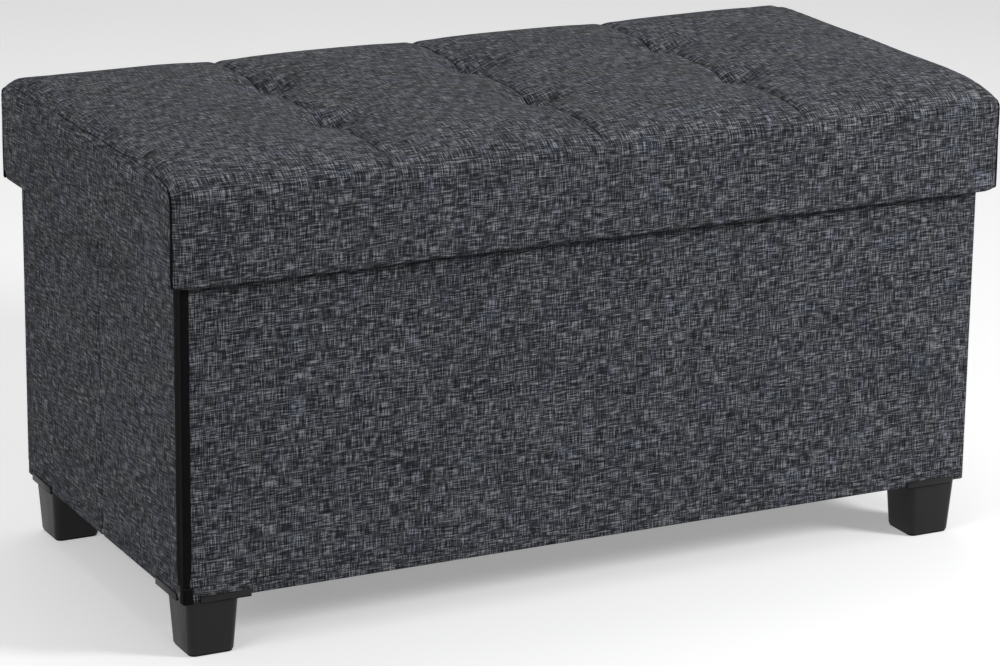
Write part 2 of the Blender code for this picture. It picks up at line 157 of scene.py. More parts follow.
def refine_axis(grid, axis):
    """Twice as many points along one axis, on a smooth curve through the old ones."""
    g = np.moveaxis(grid, axis, 0)
    padded = np.concatenate([2 * g[:1] - g[1:2], g, 2 * g[-1:] - g[-2:-1]])
    middle = (-padded[:-3] + 9 * padded[1:-2] + 9 * padded[2:-1] - padded[3:]) / 16
    out = np.empty((2 * len(g) - 1, *g.shape[1:]))
    out[::2] = g
    out[1::2] = middle
    return np.moveaxis(out, 0, axis)


def grid_faces(rows, cols, closed=False):
    wrap = cols if closed else cols - 1
    return [(r * cols + c, r * cols + (c + 1) % cols, (r + 1) * cols + (c + 1) % cols, (r + 1) * cols + c)
            for r in range(rows - 1) for c in range(wrap)]


def grid_rim(rows, cols):
    """Indexes of a grid's outer points, once round."""
    rim = list(range(cols)) + [r * cols + cols - 1 for r in range(1, rows)]
    rim += [(rows - 1) * cols + c for c in range(cols - 2, -1, -1)]
    return rim + [r * cols for r in range(rows - 2, 0, -1)]


def add_object(name, me):
    ob = bpy.data.objects.new(name, me)
    bpy.context.scene.collection.objects.link(ob)
    return ob


def add_mesh(name, verts, faces, mat, uvs=None):
    me = bpy.data.meshes.new(name)
    me.from_pydata([tuple(map(float, v)) for v in verts], [], faces)
    if uvs is not None:
        layer = me.uv_layers.new(name="weave")
        loops = np.empty(len(me.loops), dtype=np.int32)
        me.loops.foreach_get("vertex_index", loops)
        layer.data.foreach_set("uv", np.asarray(uvs, dtype=np.float32)[loops].ravel())
    me.polygons.foreach_set("use_smooth", [True] * len(me.polygons))
    me.materials.append(mat)
    me.update()
    return add_object(name, me)


def add_grid(name, grid, uvs, mat, flip=False):
    """A sheet through rows of points, its outside where the normals point."""
    rows, cols = grid.shape[:2]
    faces = grid_faces(rows, cols)
    if flip:
        faces = [f[::-1] for f in faces]
    return add_mesh(name, grid.reshape(-1, 3), faces, mat, uvs.reshape(-1, 2))


def piece(ob, body, slot, *nodes):
    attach(ob, body)
    if nodes:
        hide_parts(*nodes)
    return ob


# ---------------------------------------------------------------- materials
class Shader:
    """Small helper that strings shader nodes together."""

    def __init__(self, name):
        self.mat = bpy.data.materials.new(name)
        self.mat.use_nodes = True
        self.tree = self.mat.node_tree
        self.bsdf = self.tree.nodes["Principled BSDF"]

    def add(self, kind, props=None, **inputs):
        node = self.tree.nodes.new(kind)
        for key, value in (props or {}).items():
            setattr(node, key, value)
        for key, value in inputs.items():
            self.put(node, key.replace("_", " "), value)
        return node

    def put(self, node, key, value):
        socket = node.inputs[int(key[1:])] if key[0] == "i" and key[1:].isdigit() else node.inputs[key]
        if isinstance(value, bpy.types.NodeSocket):
            self.tree.links.new(value, socket)
        else:
            socket.default_value = value

    def math(self, operation, a, b=0.0):
        return self.add("ShaderNodeMath", {"operation": operation}, i0=a, i1=b).outputs[0]

    def uv(self):
        return self.add("ShaderNodeUVMap", {"uv_map": "weave"}).outputs["UV"]

    def place(self):
        return self.add("ShaderNodeTexCoord").outputs["Object"]

    def noise(self, coords, scale, detail=2.0, rough=0.5, shift=(0, 0, 0), turn=0.0):
        mapping = self.add("ShaderNodeMapping", Vector=coords, Scale=scale, Location=shift,
                           Rotation=(0, 0, turn))
        tex = self.add("ShaderNodeTexNoise", Vector=mapping.outputs[0], Scale=1.0, Detail=detail,
                       Roughness=rough)
        return tex.outputs[0]

    def ramp(self, value, *stops):
        node = self.add("ShaderNodeValToRGB", Fac=value)
        band = node.color_ramp
        while len(band.elements) < len(stops):
            band.elements.new(0.5)
        for element, (at, colour) in zip(band.elements, stops):
            element.position = at
            element.color = (*colour, 1.0) if len(colour) == 3 else colour
        return node.outputs[0]

    def spread(self, value, low, high, to_low=0.0, to_high=1.0):
        node = self.add("ShaderNodeMapRange", {"clamp": True}, Value=value, From_Min=low, From_Max=high,
                        To_Min=to_low, To_Max=to_high)
        return node.outputs[0]

    def mix(self, factor, a, b, blend="MIX"):
        node = self.add("ShaderNodeMix", {"data_type": "RGBA", "blend_type": blend})
        self.put(node, "i0", factor)
        self.put(node, "i6", a)
        self.put(node, "i7", b)
        return node.outputs[2]

    def finish(self, colour, rough, height=None, distance=0.0003, strength=0.6, **fixed):
        self.put(self.bsdf, "Base Color", colour)
        self.put(self.bsdf, "Roughness", rough)
        if height is not None:
            bump = self.add("ShaderNodeBump", Strength=strength, Distance=distance, Height=height)
            self.put(self.bsdf, "Normal", bump.outputs[0])
        for key, value in fixed.items():
            self.put(self.bsdf, key.replace("_", " "), value)
        return self.mat


def linen(name):
    """Slubby plain weave: dark and pale yarns in both directions, over a charcoal ground."""
    s = Shader(name)
    uv = s.uv()
    weft = s.noise(uv, (80, 1150, 1), 2.0, 0.5)
    warp = s.noise(uv, (1150, 80, 1), 2.0, 0.5, (3.7, 1.3, 0))
    weft_slub = s.noise(uv, (120, 760, 1), 1.0, 0.5, (9.1, 4.4, 0))
    warp_slub = s.noise(uv, (760, 120, 1), 1.0, 0.5, (1.9, 8.2, 0))
    yarns = s.math("ADD", weft, warp)
    slubs = s.math("MAXIMUM", weft_slub, warp_slub)
    parts = s.add("ShaderNodeSeparateXYZ", Vector=uv)
    across = s.math("SINE", s.math("MULTIPLY", parts.outputs[0], 2 * math.pi / 0.0021))
    along = s.math("SINE", s.math("MULTIPLY", parts.outputs[1], 2 * math.pi / 0.0019))
    plain = s.math("MULTIPLY", across, along)
    thick = s.noise(uv, (70, 380, 1), 1.0, 0.5, (6.3, 2.9, 0))
    tone = s.math("ADD", s.math("MULTIPLY", yarns, 0.58), s.math("MULTIPLY", slubs, 0.22))
    tone = s.math("ADD", tone, s.math("MULTIPLY", thick, 0.20))
    tone = s.math("ADD", tone, s.math("MULTIPLY", plain, 0.018))
    patch = s.noise(uv, (16, 16, 1), 2.0, 0.6, (5.0, 2.0, 0))
    tone = s.math("ADD", tone, s.math("MULTIPLY", s.math("SUBTRACT", patch, 0.5), 0.07))
    tone = s.spread(tone, 0.66, 0.93)
    colour = s.ramp(tone, (0.0, (0.009, 0.0095, 0.0105)), (0.34, (0.026, 0.0275, 0.031)),
                    (0.60, (0.064, 0.068, 0.076)), (0.82, (0.145, 0.152, 0.166)),
                    (1.0, (0.290, 0.300, 0.315)))
    hue = s.spread(s.noise(uv, (34, 34, 1), 1.0, 0.5, (7.0, 7.0, 0)), 0.48, 0.66)
    colour = s.mix(hue, colour, s.mix(1.0, colour, (0.96, 0.98, 1.08, 1.0), "MULTIPLY"))
    height = s.math("ADD", s.math("MULTIPLY", tone, 0.7), s.math("MULTIPLY", plain, 0.35))
    return s.finish(colour, 0.92, height, 0.0005, 0.55, Specular_IOR_Level=0.12, Sheen_Weight=0.03,
                    Sheen_Roughness=0.5)


def nonwoven(name):
    """Black spun cloth with pressed dots and loose fibres."""
    s = Shader(name)
    uv = s.uv()
    parts = s.add("ShaderNodeSeparateXYZ", Vector=uv)
    a = s.math("SINE", s.math("MULTIPLY", parts.outputs[0], 2 * math.pi / 0.0016))
    b = s.math("SINE", s.math("MULTIPLY", parts.outputs[1], 2 * math.pi / 0.0016))
    dots = s.spread(s.math("MULTIPLY", a, b), 0.35, 0.8)
    fibres = s.noise(uv, (900, 240, 1), 3.0, 0.65, turn=0.5)
    cloud = s.noise(uv, (45, 45, 1), 2.0, 0.6, (2.0, 6.0, 0))
    tone = s.math("ADD", s.math("MULTIPLY", fibres, 0.7), s.math("MULTIPLY", cloud, 0.5))
    colour = s.ramp(s.spread(tone, 0.4, 0.8), (0.0, (0.006, 0.006, 0.007)), (0.6, (0.016, 0.016, 0.018)),
                    (1.0, (0.038, 0.038, 0.041)))
    height = s.math("SUBTRACT", s.math("MULTIPLY", fibres, 0.5), dots)
    rough = s.spread(dots, 0.0, 1.0, 0.9, 0.6)
    return s.finish(colour, rough, height, 0.0002, 0.5, Specular_IOR_Level=0.3)


def tape(name):
    """Black twill tape standing in for painted shade at a corner and in seams: fine slanted ribs with a
    little sheen.
    """
    s = Shader(name)
    uv = s.uv()
    parts = s.add("ShaderNodeSeparateXYZ", Vector=uv)
    slant = s.math("ADD", parts.outputs[0], s.math("MULTIPLY", parts.outputs[1], 0.8))
    ribs = s.math("SINE", s.math("MULTIPLY", slant, 2 * math.pi / 0.0011))
    threads = s.noise(uv, (1500, 260, 1), 2.0, 0.6)
    tone = s.math("ADD", s.math("MULTIPLY", ribs, 0.22), threads)
    colour = s.ramp(s.spread(tone, 0.25, 0.8), (0.0, (0.0010, 0.0010, 0.0013)),
                    (0.7, (0.0030, 0.0030, 0.0036)), (1.0, (0.009, 0.009, 0.011)))
    return s.finish(colour, 0.80, s.math("ADD", ribs, threads), 0.00022, 0.6, Specular_IOR_Level=0.08)


def plastic(name):
    """Moulded black plastic with a fine satin grain and faint flow marks."""
    s = Shader(name)
    at = s.place()
    grain = s.noise(at, (2600, 2600, 2600), 2.0, 0.5)
    flow = s.noise(at, (60, 60, 14), 2.0, 0.6)
    scuff = s.noise(at, (240, 240, 900), 3.0, 0.7, (4.0, 0, 0))
    colour = s.ramp(s.spread(flow, 0.3, 0.7), (0.0, (0.0045, 0.0045, 0.0047)),
                    (1.0, (0.0080, 0.0080, 0.0083)))
    colour = s.mix(s.spread(scuff, 0.62, 0.8, 0.0, 0.35), colour, (0.020, 0.020, 0.021, 1.0))
    rough = s.math("ADD", s.spread(flow, 0.3, 0.7, 0.34, 0.44), s.spread(scuff, 0.5, 0.8, 0.0, 0.14))
    return s.finish(colour, rough, grain, 0.00005, 0.35, Specular_IOR_Level=0.28)


def fibreboard(name):
    s = Shader(name)
    at = s.place()
    fleck = s.noise(at, (420, 420, 1500), 4.0, 0.75)
    cloud = s.noise(at, (14, 14, 60), 3.0, 0.6, (3.0, 1.0, 0))
    chips = s.noise(at, (1300, 1300, 1300), 2.0, 0.5, (0, 5.0, 0))
    tone = s.math("ADD", s.math("MULTIPLY", fleck, 0.65), s.math("MULTIPLY", cloud, 0.35))
    colour = s.ramp(s.spread(tone, 0.34, 0.66), (0.0, (0.20, 0.125, 0.068)), (0.5, (0.33, 0.22, 0.125)),
                    (1.0, (0.46, 0.33, 0.20)))
    colour = s.mix(s.spread(chips, 0.62, 0.74, 0.0, 0.5), colour, (0.13, 0.08, 0.045, 1.0))
    return s.finish(colour, 0.82, fleck, 0.00015, 0.5, Specular_IOR_Level=0.3)


def foam(name):
    s = Shader(name)
    at = s.place()
    cells = s.add("ShaderNodeTexVoronoi", Vector=at, Scale=620.0)
    cloud = s.noise(at, (20, 20, 20), 2.0, 0.6)
    colour = s.ramp(s.spread(cloud, 0.35, 0.65), (0.0, (0.70, 0.62, 0.42)), (1.0, (0.80, 0.74, 0.55)))
    colour = s.mix(s.spread(cells.outputs[0], 0.25, 0.6, 0.0, 0.45), colour, (0.42, 0.36, 0.22, 1.0))
    return s.finish(colour, 0.95, cells.outputs[0], 0.0006, 0.8, Specular_IOR_Level=0.2)


def metal(name):
    """Bright zinc plating with faint turning marks."""
    s = Shader(name)
    at = s.place()
    marks = s.noise(at, (90, 90, 4200), 2.0, 0.6)
    bloom = s.noise(at, (300, 300, 300), 3.0, 0.6)
    colour = s.ramp(s.spread(bloom, 0.3, 0.7), (0.0, (0.48, 0.49, 0.50)), (1.0, (0.68, 0.69, 0.71)))
    rough = s.spread(marks, 0.3, 0.7, 0.24, 0.42)
    return s.finish(colour, rough, marks, 0.00004, 0.4, Metallic=1.0)


def nylon(name):
    s = Shader(name)
    at = s.place()
    cloud = s.noise(at, (240, 240, 240), 2.0, 0.5)
    colour = s.ramp(s.spread(cloud, 0.3, 0.7), (0.0, (0.60, 0.60, 0.56)), (1.0, (0.74, 0.74, 0.70)))
    return s.finish(colour, 0.42, cloud, 0.00005, 0.3, Subsurface_Weight=0.1)


def felt(name):
    s = Shader(name)
    uv = s.uv()
    fibres = s.noise(uv, (1400, 500, 1), 4.0, 0.75, turn=0.9)
    tufts = s.noise(uv, (500, 1400, 1), 3.0, 0.7, (3.0, 2.0, 0), turn=-0.4)
    tone = s.math("MULTIPLY", s.math("ADD", fibres, tufts), 0.5)
    colour = s.ramp(s.spread(tone, 0.38, 0.65), (0.0, (0.008, 0.008, 0.009)), (1.0, (0.040, 0.040, 0.043)))
    return s.finish(colour, 0.97, tone, 0.0004, 0.8, Specular_IOR_Level=0.15, Sheen_Weight=0.2)


LINEN = linen("linen_cloth")
LINING = nonwoven("black_lining")
# painted shade: this near-black material colours the strips and threads that stand in for shade at the
# front-left corner and in the seams
SHADE_TAPE = tape("black_binding")
PLASTIC = plastic("black_plastic")
BOARD = fibreboard("fibreboard")
FOAM = foam("foam")
ZINC = metal("zinc_steel")
NYLON = nylon("nylon")
FELT = felt("felt")


# ---------------------------------------------------------------- lid cushion
def long_edge(y):
    """How far the long edge on this side of the top lies under the crown."""
    return np.where(y < 0, FRONT_SINK, BACK_SINK)


def shoulder_start(y):
    """Height where the roll over the long edge begins, above the straight skirt."""
    return CROWN_Z - long_edge(y) - SHOULDER_R * math.sin(SHOULDER_JOIN)


def crown_drop(x, y):
    """How far the cushion's surface lies under the crown: panel puffs, seams and tufts."""
    i = np.clip(np.floor((x + HX) / PANEL_W), 0, PANELS - 1)
    u = 2 * ((x + HX) / PANEL_W - i) - 1
    left = np.where(i == 0, EDGE_DROP, SEAM_DROP)
    right = np.where(i == PANELS - 1, EDGE_DROP, SEAM_DROP)
    across = left * ((1 - u) / 2) ** 4 + right * ((1 + u) / 2) ** 4
    across = across + EDGE_ROLL * np.clip(1 - (HX - np.abs(x)) / EDGE_REACH, 0, 1) ** 2
    sink = long_edge(y) * np.clip(np.abs(y) / JOIN_Y, 0, 1) ** SINK_POWER
    drop = np.hypot(across, sink)
    for tx, ty in TUFTS:
        drop = drop + TUFT_DROP * np.exp(-((x - tx) / TUFT_RX) ** 2 - ((y - ty) / TUFT_RY) ** 2)
    return drop


def panel_columns(index):
    """Places across one panel, closer together at its seams."""
    t = np.linspace(0, 1, PANEL_COLUMNS + 1)
    t = t - 0.45 * np.sin(2 * math.pi * t) / (2 * math.pi)
    x0 = -END_X if index == 0 else -HX + index * PANEL_W
    x1 = END_X if index == PANELS - 1 else -HX + (index + 1) * PANEL_W
    return x0 + (x1 - x0) * t


def half_profile(side):
    """(y, z, fade, sink in z) of one half, from the board's edge over the shoulder to the middle."""
    low, sink = float(shoulder_start(side)), float(long_edge(side))
    rows = [(side * HY, z, 0.0, sink) for z in np.linspace(SKIRT_TOP, low, 5)]
    for a in np.linspace(0, SHOULDER_JOIN, 10)[1:-1]:
        rows.append((side * (HY - SHOULDER_R + SHOULDER_R * math.cos(a)), low + SHOULDER_R * math.sin(a),
                     float(smooth(a / SHOULDER_JOIN)), sink))
    rows += [(side * y, CROWN_Z, 1.0, 0.0) for y in np.linspace(JOIN_Y, 0, 42)]
    return rows


def cushion_surface(sink):
    """Grid of the finished cushion's top, sunk a little where nothing holds it down."""
    rows = half_profile(-1) + half_profile(1)[-2::-1]
    xs = np.concatenate([panel_columns(i)[0 if i == 0 else 1:] for i in range(PANELS)])
    y, z, fade, sunk = (np.array(v)[:, None] for v in zip(*rows))
    x = np.broadcast_to(xs[None, :], (len(rows), len(xs)))
    y = np.broadcast_to(y, x.shape)
    drop = crown_drop(x, np.clip(y, -JOIN_Y, JOIN_Y)) - sunk
    grid = np.stack([x, y, z - drop * fade], axis=2)
    local = ((x + HX) / PANEL_W) % 1.0
    free = smooth(np.minimum(local, 1 - local) / 0.12) * smooth(fade / 0.4)
    return grid - grid_normals(grid) * (sink * free)[..., None], np.array([r[2] for r in rows])


def simulate(grid, held):
    """Cloth blown up from inside and held at its seams and lower edges."""
    rows, cols = grid.shape[:2]
    ob = add_mesh("cushion_cloth", grid.reshape(-1, 3), grid_faces(rows, cols), LINEN)
    group = ob.vertex_groups.new(name="held")
    group.add([int(i) for i in np.flatnonzero(held.ravel())], 1.0, "REPLACE")
    mod = ob.modifiers.new("cloth", "CLOTH")
    cloth = mod.settings
    cloth.quality = 6
    cloth.mass = 0.3
    cloth.tension_stiffness = cloth.compression_stiffness = 30
    cloth.shear_stiffness = 12
    cloth.bending_stiffness = 3.0
    cloth.use_pressure = True
    cloth.uniform_pressure_force = 4.0
    cloth.vertex_group_mass = "held"
    cloth.effector_weights.gravity = 0
    scene = bpy.context.scene
    for step in range(1, 21):
        scene.frame_set(step)
    shown = ob.evaluated_get(bpy.context.evaluated_depsgraph_get()).to_mesh()
    moved = np.empty(len(shown.vertices) * 3)
    shown.vertices.foreach_get("co", moved)
    scene.frame_set(1)
    bpy.data.objects.remove(ob, do_unlink=True)
    return moved.reshape(rows, cols, 3)


def shaped_cushion():
    start, fade = cushion_surface(SHRINK)
    cols = start.shape[1]
    held = np.zeros(start.shape[:2], bool)
    held[:3] = held[-3:] = True
    held[:, 0::PANEL_COLUMNS] = True
    held[:, cols - 1] = True
    move = simulate(start, held) - start
    size = np.linalg.norm(move, axis=2, keepdims=True)
    print("cushion simulation moved points by up to", round(float(size.max()) * 1000, 1), "mm, mean",
          round(float(size.mean()) * 1000, 2))
    blown = start + move * np.minimum(1, CAP / np.maximum(size, 1e-9))
    plain = cushion_surface(0.0)[0]
    print("cushion simulation against the plain surface, mean rise in mm",
          round(float((blown - plain)[..., 2].mean()) * 1000, 2))
    return plain + (blown - plain) * KEEP_SIMULATED, fade


def hem_profile(outer, inner, top):
    """(distance out, z) from the inside of a turned-up hem, under the edge and up the outer face."""
    low, high, radius = SKIRT_Z, SKIRT_Z + HEM, HEM_ROLL
    turn = np.linspace(0, math.pi / 2, 5)
    inside = [(inner, z) for z in np.linspace(high, low + radius, 4)[:-1]]
    inside += [(inner + radius - radius * math.cos(a), low + radius - radius * math.sin(a)) for a in turn]
    outside = [(outer - radius + radius * math.sin(a), low + radius - radius * math.cos(a)) for a in turn]
    return inside + outside + [(outer, z) for z in np.linspace(low + radius, top, 8)[1:-1]]


def cover_grid(index, top, fade):
    """Whole grid of one panel: hem, skirt, cushion, skirt, hem, with its edges rolled."""
    first = index * PANEL_COLUMNS
    part = top[:, first:first + PANEL_COLUMNS + 1]
    part = refine_axis(refine_axis(part, 0), 1)
    fade = refine_axis(fade[:, None], 0)[:, 0]
    xs = part[len(part) // 2, :, 0]
    skirt = hem_profile(HY, HY - HEM_IN, SKIRT_TOP)
    mitre = HX - HEM_IN
    front = np.array([[(x if k > 9 else np.clip(x, -mitre, mitre), -y, z) for x in xs]
                      for k, (y, z) in enumerate(skirt)])
    back = front[::-1] * np.array([1, -1, 1])
    grid = np.concatenate([front, part, back])
    on_top = np.concatenate([np.zeros(len(front)), fade, np.zeros(len(back))])
    outer = np.ones(len(grid))
    outer[:8] = outer[-8:] = 0
    outer[8:10] = outer[-10:-8] = 0.5
    middle = grid[len(grid) // 2, :, 0]
    path = grid[:, len(xs) // 2, 1:]
    v = arc_lengths(path)
    v -= v[len(v) // 2]
    uvs = np.stack(np.broadcast_arrays(middle[None, :], v[:, None]), axis=2)
    normals = grid_normals(grid)
    grid = grid + normals * (waves(uvs[..., 0], uvs[..., 1], 0.11, 3) * LID_UNEVEN)[..., None]
    grid = grid + normals * (FACE_OUT * outer * (1 - on_top))[:, None, None]
    for column, end in ((0, index == 0), (-1, index == PANELS - 1)):
        away = np.abs(middle - middle[column])[None, :]
        if end:
            roll = fall(away, CORNER_REACH, CORNER_ROLL) * outer[:, None]
        else:
            roll = fall(away, SEAM_REACH, SEAM_ROLL) * smooth(on_top / 0.9)[:, None]
        grid = grid - normals * roll[..., None]
    return grid, uvs, normals, on_top, outer


def tuck_edges(grid, uvs, normals, on_top, outer, ends):
    """Adds a column at each side that goes down into the seam."""
    for side, end in zip((0, -1), ends):
        if end:
            amount = outer * (CORNER_TUCK + (TUCK - CORNER_TUCK) * on_top)
        else:
            amount = TUCK * np.maximum(on_top, 0.05)
        sign = -1 if side == 0 else 1
        step = np.array([sign * 0.0003, 0, 0])
        extra = grid[:, side] - normals[:, side] * amount[:, None] + step
        slot = (grid[:, side] + extra) / 2 + step * 0.5
        uv = uvs[:, side] + np.array([sign * TUCK, 0])
        columns = [slot[:, None], extra[:, None]]
        uv_columns = [(uvs[:, side:side + 1 or None] + uv[:, None]) / 2, uv[:, None]]
        if side == 0:
            grid = np.concatenate([extra[:, None], slot[:, None], grid], axis=1)
            uvs = np.concatenate(uv_columns[::-1] + [uvs], axis=1)
        else:
            grid = np.concatenate([grid, *columns], axis=1)
            uvs = np.concatenate([uvs, *uv_columns], axis=1)
    return grid, uvs


def add_shade_thread(name, path, radius):
    """Sewing thread lying in a seam, thinner at its two ends, black as painted shade that darkens the seam
    line.
    """
    path = np.asarray(path)
    along = np.gradient(path, axis=0)
    along /= np.maximum(np.linalg.norm(along, axis=1, keepdims=True), 1e-9)
    side = np.cross(along, np.array([1.0, 0.02, 0.03]))
    side /= np.maximum(np.linalg.norm(side, axis=1, keepdims=True), 1e-9)
    up = np.cross(along, side)
    length = arc_lengths(path)
    thick = radius * np.minimum(1, 0.25 + np.minimum(length, length[-1] - length) / 0.008)
    twist = 1 + 0.12 * np.sin(length * 2 * math.pi / 0.004)
    rings = []
    for a in np.linspace(0, 2 * math.pi, 7)[:-1]:
        rings.append(path + (side * math.cos(a) + up * math.sin(a)) * (thick * twist)[:, None])
    grid = np.stack(rings, axis=1)
    uvs = np.stack(np.broadcast_arrays(np.linspace(0, radius * 6, 6)[None, :], length[:, None]), axis=2)
    faces = grid_faces(len(path), 6, closed=True)
    ob = add_mesh(name, grid.reshape(-1, 3), faces, SHADE_TAPE, uvs.reshape(-1, 2))
    piece(ob, "lid", "black_binding")


def build_covers():
    top, fade = shaped_cushion()
    names = ("left", "mid_left", "mid_right", "right")
    edges = {}
    for index, place in enumerate(names):
        ends = (index == 0, index == PANELS - 1)
        grid, uvs, normals, on_top, outer = cover_grid(index, top, fade)
        if ends[0]:
            edges[-1] = grid[:, 0].copy()
        if ends[1]:
            edges[1] = grid[:, -1].copy()
        else:
            # black thread in each panel seam: a real seam, its dark line painted shade
            sewn = on_top > 0.03
            line = grid[:, -1] - normals[:, -1] * (0.0010 + 0.0008 * (1 - on_top))[:, None]
            add_shade_thread("seam_shade_thread_" + str(index + 1), line[sewn], 0.00055)
        for column, wanted in ((0, ends[0]), (-1, ends[1])):
            if wanted:
                # thicker black thread along each lid end seam: painted shade along that seam
                shown = outer > 0.4
                line = grid[:, column] - normals[:, column] * (0.0004 + 0.0008 * on_top)[:, None]
                add_shade_thread("end_shade_thread_" + place, line[shown], 0.0011)
        grid, uvs = tuck_edges(grid, uvs, normals, on_top, outer, ends)
        ob = add_grid("cover_" + place, grid, uvs, LINEN)
        piece(ob, "lid", "linen_cloth", "lid_cover_" + place)
    return top, edges


def build_gusset(name, side, edge, node):
    """End piece between the top panels, with its own hem and a soft outward curve."""
    high = edge[:, 2] > shoulder_start(edge[:, 1]) - 0.001
    line = edge[high][::2]
    ys, tops = line[:, 1], line[:, 2]
    base = hem_profile(HX, HX - HEM_IN, SKIRT_Z + 0.006)
    reach = HY - HEM_IN
    rows, vs = [], []
    for k, (x, z) in enumerate(base):
        squeeze = reach / HY if k < 9 else 1.0
        rows.append([(side * x, y * squeeze, z) for y in ys])
        vs.append(z)
    share = np.linspace(0, 1, 22)[1:]
    z0 = base[-1][1]
    for f in share:
        z = z0 + f * (tops - z0)
        low = smooth((z - 0.366) / 0.02) * smooth((1 - f) / 0.25)
        rows.append([(side * (HX + FACE_OUT * 0.6 + GUSSET_BULGE * b), y, zz)
                     for b, y, zz in zip(low, ys, z)])
    grid = np.array(rows, float)
    count = len(base)
    away_side = np.minimum(np.abs(grid[..., 1] - ys[0]), np.abs(grid[..., 1] - ys[-1]))
    away_top = tops[None, :] - grid[..., 2]
    away = np.minimum(away_side, away_top)
    away[:count - 2] = away_side[:count - 2]
    inward = fall(away, 0.008, FACE_OUT * 0.6 + 0.0005)
    inward[:9] = 0
    grid[..., 0] -= side * inward
    grid[..., 0] += side * waves(grid[..., 1], grid[..., 2], 0.09, 11) * 0.0004
    v = np.concatenate([[0], np.cumsum(np.linalg.norm(np.diff(grid[:, len(ys) // 2], axis=0), axis=1))])
    uvs = np.stack([grid[..., 1] + 3.0, np.broadcast_to(v[:, None], grid.shape[:2])], axis=2)
    inner = grid[-1] - np.array([side * CORNER_TUCK, 0, 0.0012])
    grid = np.concatenate([grid, inner[None]])
    uvs = np.concatenate([uvs, uvs[-1:] + np.array([0, TUCK])])
    sides = []
    for c in (0, -1):
        depth = np.full(len(grid), CORNER_TUCK)
        depth[:9] = 0.0002
        extra = grid[:, c] - np.stack([side * depth, 0 * depth, 0 * depth], axis=1)
        extra[:, 1] += 0.0006 if c == 0 else -0.0006
        sides.append(extra[:, None])
    edge_uv = [uvs[:, :1] - np.array([TUCK, 0]), uvs[:, -1:] + np.array([TUCK, 0])]
    grid = np.concatenate([sides[0], grid, sides[1]], axis=1)
    uvs = np.concatenate([edge_uv[0], uvs, edge_uv[1]], axis=1)
    ob = add_grid(name, grid, uvs, LINEN, flip=side < 0)
    piece(ob, "lid", "linen_cloth", node)


def build_foam(top):
    """Foam slab: its top follows the cloth from just below, its underside lies on the board."""
    skin = top[::2, ::2]
    normals = grid_normals(skin)
    local = (skin[..., 0] + HX) % PANEL_W
    away = np.minimum(local, PANEL_W - local)
    upper = skin - normals * (FOAM_UNDER + fall(away, 0.016, 0.0065))[..., None]
    upper[..., 0] = np.clip(upper[..., 0], -HX + 0.005, HX - 0.005)
    low = np.maximum(upper[..., 2], FOAM_Z)
    upper[..., 2] = low
    lower = upper.copy()
    lower[..., 2] = FOAM_Z
    rows, cols = upper.shape[:2]
    verts = np.concatenate([upper.reshape(-1, 3), lower.reshape(-1, 3)])
    faces = grid_faces(rows, cols)
    n = rows * cols
    faces += [tuple(n + i for i in f[::-1]) for f in grid_faces(rows, cols)]
    rim = grid_rim(rows, cols)
    faces += [(a, n + a, n + b, b) for a, b in zip(rim, rim[1:] + rim[:1])]
    ob = add_mesh("cushion_foam", verts, faces, FOAM)
    tidy = bmesh.new()
    tidy.from_mesh(ob.data)
    bmesh.ops.remove_doubles(tidy, verts=tidy.verts, dist=0.00002)
    bmesh.ops.recalc_face_normals(tidy, faces=tidy.faces)
    tidy.to_mesh(ob.data)
    tidy.free()
    piece(ob, "lid", "foam", "lid_foam")


# ---------------------------------------------------------------- walls
class Run:
    """Coordinates of a wall: r along it, t inwards from its outer face, z up."""

    def __init__(self, along, side):
        self.along = along
        self.side = side
        self.face = side * (WY if along == 0 else WX)

    def points(self, r, t, z):
        r, t, z = np.broadcast_arrays(r, t, z)
        across = self.face - self.side * t
        return np.stack([r, across, z] if self.along == 0 else [across, r, z], axis=-1)

    def flipped(self):
        return (self.side > 0) == (self.along == 0)


def wrap_path(low, high, radii, open_low):
    """(place, depth, length) across a tray: up one edge, over the face, down the other edge."""
    turn = np.linspace(0, math.pi / 2, 5)[1:]
    start = low if open_low else low + radii[0]
    end = high - radii[1]
    count = max(2, int(round((end - start) / TRAY_STEP)))
    face = [(p, 0.0) for p in np.linspace(start, end, count + 1)]
    low_edge, high_edge = ([(radius * math.sin(a), radius - radius * math.cos(a)) for a in turn] +
                           [(radius, d) for d in np.linspace(radius, WALL_T, 3)[1:]] for radius in radii)
    before = [] if open_low else [(start - a, b) for a, b in low_edge[::-1]]
    after = [(end + a, b) for a, b in high_edge]
    path = np.array(before + face + after)
    return path[:, 0], path[:, 1], arc_lengths(path) + (low if open_low else low - WALL_T)


def build_tray(name, body, node, run, r0, r1, radii, open_low, seed, shift):
    """Cloth over one wall board, turned in at its edges."""
    z0, z1 = BASE_TOP_Z + GAP, WALL_TOP_Z
    r, tr, ur = wrap_path(r0, r1, radii, open_low)
    z, tz, uz = wrap_path(z0, z1, LEVEL_RADII, False)
    rr, zz = np.meshgrid(r, z)
    depth = np.maximum(tr[None, :], tz[:, None])
    uvs = np.stack(np.broadcast_arrays(ur[None, :] + shift, uz[:, None]), axis=2)
    calm = smooth(np.minimum(np.minimum(rr - r0, r1 - rr), np.minimum(zz - z0, z1 - zz)) / 0.02)
    depth = depth + waves(uvs[..., 0], uvs[..., 1], 0.12, seed) * WALL_UNEVEN * calm
    if open_low:
        depth = depth + 0.0007 * smooth(1 - (rr - r0) / 0.004)
    grid = run.points(rr, depth, zz)
    ob = add_grid(name, grid, uvs, LINEN, flip=run.flipped())
    piece(ob, body, "linen_cloth", node)


